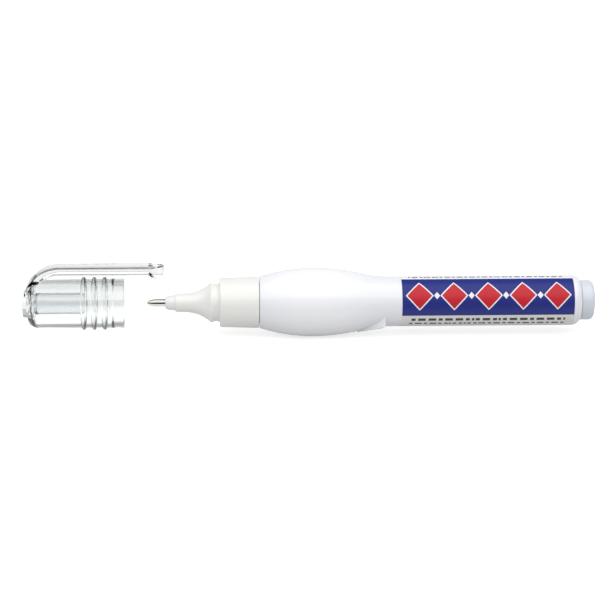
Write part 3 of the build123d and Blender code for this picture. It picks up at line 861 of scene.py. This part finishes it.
# %% Plastic finish
def new_material(name):
    """Material with an empty tree but for its Principled shader and output."""
    material = bpy.data.materials.new(name)
    material.use_nodes = True
    print("finish:", name)
    return material, material.node_tree, material.node_tree.nodes["Principled BSDF"]


def tinted(colour, factor):
    """The colour scaled by a factor, opaque."""
    return tuple(min(1.0, c * factor) for c in colour) + (1.0,)


tone_per_metre = 90.0


def grained(tree, shader, grain_size, depth, strength=0.6, squeeze=None):
    """Place a moulded grain on the shader's normal, and return its group node. A squeeze scales the place."""
    place = add_node(tree, "ShaderNodeTexCoord").outputs["Object"]
    if squeeze:
        place = add_node(tree, "ShaderNodeMapping", {"Vector": place, "Scale": squeeze}).outputs["Vector"]
    scales = {"Grain Per Metre": 1 / (grain_size * mm), "Tone Per Metre": tone_per_metre}
    skin = add_node(tree, "ShaderNodeGroup", {"Place": place, **scales}, node_tree=grain)
    bump_inputs = {"Height": skin.outputs["Height"], "Distance": depth * mm, "Strength": strength}
    bump = add_node(tree, "ShaderNodeBump", bump_inputs)
    feed(tree, shader, {"Normal": bump.outputs["Normal"]})
    return skin


def carried_mark(tree, mark):
    """Output of a mark that the mesh carries on its points."""
    return add_node(tree, "ShaderNodeAttribute", attribute_name=mark).outputs["Fac"]


def edges_and_corner_shade_colour(tree, shader, colour, tone, patches, amount):
    """Paler edges and painted shade in hollow corners over a tone, from the marks that the mesh carries, as
    the shader's colour.
    """
    edge_shade_inputs = {
        "Colour": tone,
        "Edge Colour": tinted(colour, 1.06),
        # Hollow corners take a darker colour: painted shade.
        "Corner Shade Colour": tinted(colour, 0.72),
        "Tone": patches,
        "Amount": amount,
    }
    edge_shade_node = add_node(tree, "ShaderNodeGroup", edge_shade_inputs, node_tree=edges_and_corner_shade)
    for mark, socket in (("edge", "Edge"), ("hollow", "Hollow")):
        feed(tree, edge_shade_node, {socket: carried_mark(tree, mark)})
    feed(tree, shader, {"Base Color": edge_shade_node.outputs["Colour"]})


def moulded_plastic(name, colour, roughness, grain_size, depth, amount=0.6, bulb_highlight_colour=None):
    """Moulded plastic: fine grain, slow changes of tone, paler edges with painted shade in hollow
    corners, and a paler colour painted on the bulb, a painted highlight, where the mesh carries its bulge
    mark."""
    material, tree, shader = new_material(name)
    skin = grained(tree, shader, grain_size, depth)
    tone = mix_colour(tree, skin.outputs["Tone"], tinted(colour, 0.965), tinted(colour, 1.02))
    # Where the bulb bulges, the colour is painted paler: a painted highlight for its brighter crown.
    if bulb_highlight_colour:
        tone = mix_colour(tree, carried_mark(tree, "bulb_highlight"), tone, tinted(bulb_highlight_colour, 1.0))
    edges_and_corner_shade_colour(tree, shader, colour, tone, skin.outputs["Tone"], amount)
    rough = remap(tree, skin.outputs["Tone"], *tone_range, roughness - 0.04, roughness + 0.05)
    feed(tree, shader, {"Roughness": rough, "IOR": 1.5})
    return material


# The second colour is the bulb's painted highlight.
barrel_white = moulded_plastic(
    "soft barrel white", (0.86, 0.87, 0.91), 0.11, 0.5, 0.0012, bulb_highlight_colour=(0.935, 0.94, 0.965)
)
section_white = moulded_plastic("warm section white", (0.88, 0.88, 0.855), 0.11, 0.5, 0.0012)
holder_white = moulded_plastic("holder white", (0.86, 0.87, 0.86), 0.2, 0.4, 0.0012)
plug_white = moulded_plastic("cool plug white", (0.69, 0.72, 0.79), 0.22, 0.5, 0.0012)
retainer_white = moulded_plastic("retainer white", (0.78, 0.78, 0.77), 0.3, 0.5, 0.002)


# %% [markdown]
# ### Metal
#
# The tip is turned, so its tool left fine rings round the axis. They are noise that changes
# along the pen and hardly around it: the place is squeezed across before the noise reads it.


# %% Metal finish
def turned_metal(name, colour, roughness, rings_per_mm, depth):
    """Turned or drawn metal with fine rings round the pen's axis."""
    material, tree, shader = new_material(name)
    skin = grained(tree, shader, 1 / rings_per_mm, depth, 0.4, (1.0, 0.04, 0.04))
    tone = mix_colour(tree, skin.outputs["Tone"], tinted(colour, 0.9), tinted(colour, 1.05))
    edges_and_corner_shade_colour(tree, shader, colour, tone, skin.outputs["Tone"], 0.5)
    rough = remap(tree, skin.outputs["Height"], *tone_range, roughness * 0.7, roughness * 1.3)
    feed(tree, shader, {"Roughness": rough, "Metallic": 1.0})
    return material


tip_metal = turned_metal("bright tip metal", (0.71, 0.68, 0.62), 0.05, 9.0, 0.0006)
ball_metal = turned_metal("ball metal", (0.66, 0.66, 0.68), 0.08, 4.0, 0.0005)
valve_steel = turned_metal("valve steel", (0.62, 0.63, 0.64), 0.24, 7.0, 0.002)
shaker_steel = turned_metal("shaker steel", (0.70, 0.70, 0.71), 0.12, 3.0, 0.001)


# %% [markdown]
# ### Clear and frosted plastic
#
# Clear plastic is all about what it bends into view, so its colour stays nearly white and its
# skin nearly smooth. A Glass shader would do here, but a Principled one with full
# transmission can also be exported. A faint change of roughness keeps it from looking like air.


# %% Clear finish
def clear_plastic(name, colour, roughness, bend, grain_size, depth):
    """Clear plastic with a faint moulded skin."""
    material, tree, shader = new_material(name)
    skin = grained(tree, shader, grain_size, depth)
    tone = mix_colour(tree, skin.outputs["Tone"], tinted(colour, 0.985), tinted(colour, 1.0))
    rough = remap(tree, skin.outputs["Tone"], *tone_range, roughness * 0.5, roughness * 1.5)
    feed(tree, shader, {"Base Color": tone, "Roughness": rough, "Transmission Weight": 1.0, "IOR": bend})
    return material


cap_clear = clear_plastic("clear cap", (0.905, 0.925, 0.92), 0.02, 1.56, 1.2, 0.0005)
seal_frost = clear_plastic("frosted seal", (0.94, 0.95, 0.96), 0.1, 1.48, 0.4, 0.002)


# %% [markdown]
# ### Printed film
#
# The film is white with a blue panel that faces the viewer, a warm strip under it, and a
# plain ornament: a row of red lozenges in white outline with small white ones between them. The
# strip is warmer than the white and a little darker; the darkness is painted shade on the film's
# lower side.
# An image could carry it, but sums on two marks, millimetres along the film and millimetres
# around it, stay sharp at any size. The short bars beside the panel stand for small print
# and say nothing.

# %% Inks and layout
ink_blue = (0.0155, 0.025, 0.222, 1.0)
ink_red = (0.56, 0.014, 0.027, 1.0)
ink_white = (0.85, 0.86, 0.89, 1.0)
# Warm strip ink, darkened as painted shade.
ink_warm_shaded = (0.8, 0.78, 0.755, 1.0)
ink_dark = (0.05, 0.05, 0.06, 1.0)
ink_speckle = 0.008
panel_half = 6.25
strip_depth = 5.6
lozenge_pitch = 10.3
lozenge_half_len, lozenge_half_height = 3.7, 4.0
lozenge_outline = 1.13
spacer_half_len, spacer_half_height = 0.9, 1.1
# rows of short bars: middle around the film, height, two waves along it and the second one's shift
small_print = (
    (-7.85, 1.05, 2.3, 3.9, 0.4),
    (-9.8, 0.8, 2.9, 4.3, 1.7),
    (7.6, 0.7, 3.3, 5.1, 2.6),
    (13.2, 0.7, 2.6, 4.7, 0.9),
    (15.0, 0.7, 2.2, 4.1, 2.1),
    (16.8, 0.7, 3.1, 4.9, 0.2),
    (-14.4, 0.7, 2.7, 4.5, 1.1),
    (-16.2, 0.7, 2.4, 3.7, 2.9),
)
bar_level = -0.5
bar_span = 2.2, label_end_x - label_x - 2.6
back_rules = (-12.6, -18.2, 11.4, 18.6)
rule_half = 0.2
print(f"print: {len(small_print)} rows of bars, {len(back_rules)} rules, lozenges {lozenge_pitch} mm apart")


# %% Print helpers
def between(tree, value, low, high):
    """1 where low < value < high."""
    over = math_node(tree, "GREATER_THAN", value, low)
    return times(tree, over, math_node(tree, "LESS_THAN", value, high))


def lozenge(tree, along, across, half_len, half_height):
    """along / half_len + across / half_height, which is 1 on a lozenge's outline."""
    sideways = math_node(tree, "DIVIDE", along, half_len)
    return math_node(tree, "ADD", sideways, math_node(tree, "DIVIDE", across, half_height))


def short_bars(tree, along, around, middle, height, wave_1, wave_2, shift):
    """A row of short bars: where sin(w1 a) + sin(w2 a + shift) is over a level, inside the row's height."""
    first = math_node(tree, "SINE", times(tree, along, wave_1))
    second = math_node(tree, "SINE", math_node(tree, "MULTIPLY_ADD", along, wave_2, shift))
    inked = math_node(tree, "GREATER_THAN", math_node(tree, "ADD", first, second), bar_level)
    row = between(tree, around, middle - height / 2, middle + height / 2)
    row = times(tree, row, between(tree, along, *bar_span))
    return times(tree, row, inked)


# %% Printed film
label_print, tree, shader = new_material("printed film")
along = carried_mark(tree, "along")
above = times(tree, carried_mark(tree, "around"), -1.0)
cell = math_node(tree, "PINGPONG", along, lozenge_pitch / 2)
off_middle = math_node(tree, "SUBTRACT", lozenge_pitch / 2, cell)
height = math_node(tree, "ABSOLUTE", above)
big = lozenge(tree, off_middle, height, lozenge_half_len, lozenge_half_height)
small = lozenge(tree, cell, height, spacer_half_len, spacer_half_height)
inner = between(tree, along, lozenge_pitch / 2, label_end_x - label_x - lozenge_pitch / 2)
spacer = times(tree, math_node(tree, "LESS_THAN", small, 1.0), inner)

# Under the panel the strip is warmer and a little darker: the darkness is painted shade on the film's lower
# side.
colour = mix_colour(tree, between(tree, above, -panel_half - strip_depth, -panel_half), ink_white, ink_warm_shaded)
for bar_row in small_print:
    colour = mix_colour(tree, short_bars(tree, along, above, *bar_row), colour, ink_dark)
for middle in back_rules:
    colour = mix_colour(tree, between(tree, above, middle - rule_half, middle + rule_half), colour, ink_blue)
colour = mix_colour(tree, between(tree, above, -panel_half, panel_half), colour, ink_blue)
colour = mix_colour(tree, math_node(tree, "LESS_THAN", big, lozenge_outline), colour, ink_white)
colour = mix_colour(tree, math_node(tree, "LESS_THAN", big, 1.0), colour, ink_red)
colour = mix_colour(tree, spacer, colour, ink_white)
skin = grained(tree, shader, 0.25, 0.0015)
speckle = remap(tree, skin.outputs["Height"], 0.35, 0.65, 0.0, ink_speckle)
printed = mix_colour(tree, speckle, colour, ink_white)
rough = remap(tree, skin.outputs["Tone"], *tone_range, 0.32, 0.4)
feed(tree, shader, {"Base Color": printed, "Roughness": rough, "Specular IOR Level": 0.3})
print("printed film:", len(tree.nodes), "nodes")

# %% [markdown]
# ## Dressing the pieces
#
# New pieces take one finish each. The three pieces that never show, the needle, its retainer
# and the mixing ball, keep their meshes from the frame and only change their finish. The
# renderer takes clear plastic as solid when it looks for shadows. The real cap lets the light
# in, so it and its tube are told to throw none, and what they cover stays lit.


# %% Dress the pieces
def dress(piece, material):
    """Give a piece, or a node of the frame, one finish."""
    piece.data.materials.clear()
    piece.data.materials.append(material)


finishes = {
    barrel_white: [barrel, lug],
    label_print: [film],
    plug_white: [plug],
    section_white: [section],
    holder_white: [holder],
    tip_metal: [tip],
    ball_metal: [ball],
    valve_steel: [spring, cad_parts["valve_needle"]],
    retainer_white: [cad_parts["spring_retainer"]],
    shaker_steel: [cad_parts["shaker_ball"]],
    cap_clear: [shell],
    seal_frost: [seal],
}
for material, pieces in finishes.items():
    for piece in pieces:
        dress(piece, material)
for clear_piece in (shell, seal):
    clear_piece.visible_shadow = False
print("finishes:", ", ".join(material.name for material in finishes))

# %% [markdown]
# ## Stage
#
# The photograph is a plain product shot: one broad soft light overhead and a little in front,
# and white all round. A floor that is simply lit would come out grey, and more light would
# wash out the pen. So the floor is a lit grey that keeps the pen's shadow, with a glow on top
# that depends on who looks:
#
# - the camera sees it nearly white;
# - a mirrored ray sees it pale behind the pen and dark in front, which gives the metal tip
#   its dark band;
# - a ray that came through clear plastic sees it bright beside the pen's line and dark right
#   under it, which draws the cap's lower edge as a dark line.

# %% Floor
floor_reach = 3.0
floor_grey, front_grey = (0.6, 0.6, 0.6, 1), (0.03, 0.03, 0.03, 1)
camera_glow, far_glow, near_glow = 0.72, 0.44, 0.8
paper_zone = -60 * mm, -18 * mm
near_zone = 12 * mm, 30 * mm
line_zone, line_dark = (3 * mm, 5 * mm), 0.75

floor = bpy.data.objects.new("floor", bpy.data.meshes.new("floor"))
corners = np.array([(-1, -1, 0), (1, -1, 0), (1, 1, 0), (-1, 1, 0)]) * floor_reach
floor.data.from_pydata(corners.tolist(), [], [(0, 1, 2, 3)])
scene.collection.objects.link(floor)

floor_white, tree, shader = new_material("pale floor")
light_path = add_node(tree, "ShaderNodeLightPath").outputs
through = light_path["Is Transmission Ray"]
glossy_only = math_node(tree, "SUBTRACT", light_path["Is Glossy Ray"], through)
mirrored = math_node(tree, "GREATER_THAN", glossy_only, 0.5)

place = add_node(tree, "ShaderNodeTexCoord").outputs["Object"]
across = add_node(tree, "ShaderNodeSeparateXYZ", {0: place}).outputs["Y"]
off_line = math_node(tree, "ABSOLUTE", across)
paper = remap(tree, across, *paper_zone, 0.0, 1.0)
under_cap = remap(tree, off_line, *line_zone, line_dark, 0.0)

clear_glow = remap(tree, off_line, *near_zone, near_glow, far_glow)
clear_glow = times(tree, clear_glow, math_node(tree, "SUBTRACT", 1.0, under_cap))
seen_through = times(tree, through, clear_glow)
mirrored_paper = times(tree, mirrored, paper)
seen_again = math_node(tree, "MULTIPLY_ADD", mirrored_paper, far_glow, seen_through)
glow = math_node(tree, "MULTIPLY_ADD", light_path["Is Camera Ray"], camera_glow, seen_again)
dim = times(tree, mirrored, math_node(tree, "SUBTRACT", 1.0, paper))
dim = math_node(tree, "MULTIPLY_ADD", through, under_cap, dim)

floor_colour = mix_colour(tree, dim, floor_grey, front_grey)
feed(tree, shader, {"Base Color": floor_colour, "Roughness": 0.9, "Specular IOR Level": 0.0})
feed(tree, shader, {"Emission Color": (1, 1, 1, 1), "Emission Strength": glow})
dress(floor, floor_white)
print(f"floor: {2 * floor_reach:.0f} m square, glow {camera_glow} for the camera")

# %% [markdown]
# ### World
#
# The room round the pen is white for the camera, and an even fill for matt surfaces. Mirrored
# rays see a wall that is pale behind the pen, dark in front and dim overhead, beside the lamp,
# and clear plastic sees at least a middle grey, so that its thick edges don't turn black.

# %% World
wall_zone, wall_tones = (-0.15, 0.45), (0.02, 0.6)
ceiling_zone, ceiling_tones = (0.35, 0.75), (1.0, 0.12)
least_through, fill_tone = 0.3, 0.475

world = bpy.data.worlds.new("studio")
scene.world = world
world.use_nodes = True
tree = world.node_tree
light_path = add_node(tree, "ShaderNodeLightPath").outputs
matt = light_path["Is Diffuse Ray"]
place = add_node(tree, "ShaderNodeTexCoord").outputs["Generated"]
way = add_node(tree, "ShaderNodeSeparateXYZ", {0: place}).outputs

room = remap(tree, way["Y"], *wall_zone, *wall_tones)
room = times(tree, room, remap(tree, way["Z"], *ceiling_zone, *ceiling_tones))
room = times(tree, room, math_node(tree, "SUBTRACT", 1.0, matt))
clear_tone = times(tree, light_path["Is Transmission Ray"], least_through)
room = math_node(tree, "MAXIMUM", room, clear_tone)
strength = math_node(tree, "MULTIPLY_ADD", matt, fill_tone, room)
strength = math_node(tree, "MAXIMUM", strength, light_path["Is Camera Ray"])
feed(tree, tree.nodes["Background"], {"Color": (1, 1, 1, 1), "Strength": strength})
print(f"world: fill {fill_tone} for matt surfaces, {len(tree.nodes)} nodes")

# %% [markdown]
# ### Light
#
# A softbox is a glowing rectangle. What counts for the picture is how bright its face is, so
# the helper takes that, and works out the power that the lamp needs at its size.


# %% Light
def softbox(name, place, aim, size, radiance):
    """Area light of a plain radiance: power is radiance x pi x area."""
    lamp = bpy.data.lights.new(name, "AREA")
    lamp.shape, lamp.size, lamp.size_y = "RECTANGLE", *size
    lamp.energy = radiance * pi * size[0] * size[1]
    stand = bpy.data.objects.new(name, lamp)
    stand.location = place
    stand.rotation_euler = (Vector(aim) - Vector(place)).to_track_quat("-Z", "Y").to_euler()
    stand.visible_camera = False
    scene.collection.objects.link(stand)
    return stand


box_y, box_z = -0.341, 0.5
box_size, box_radiance = (1.3, 0.86), 1.4
softbox("overhead softbox", (0.0, box_y, box_z), (0.0, box_y, 0.0), box_size, box_radiance)
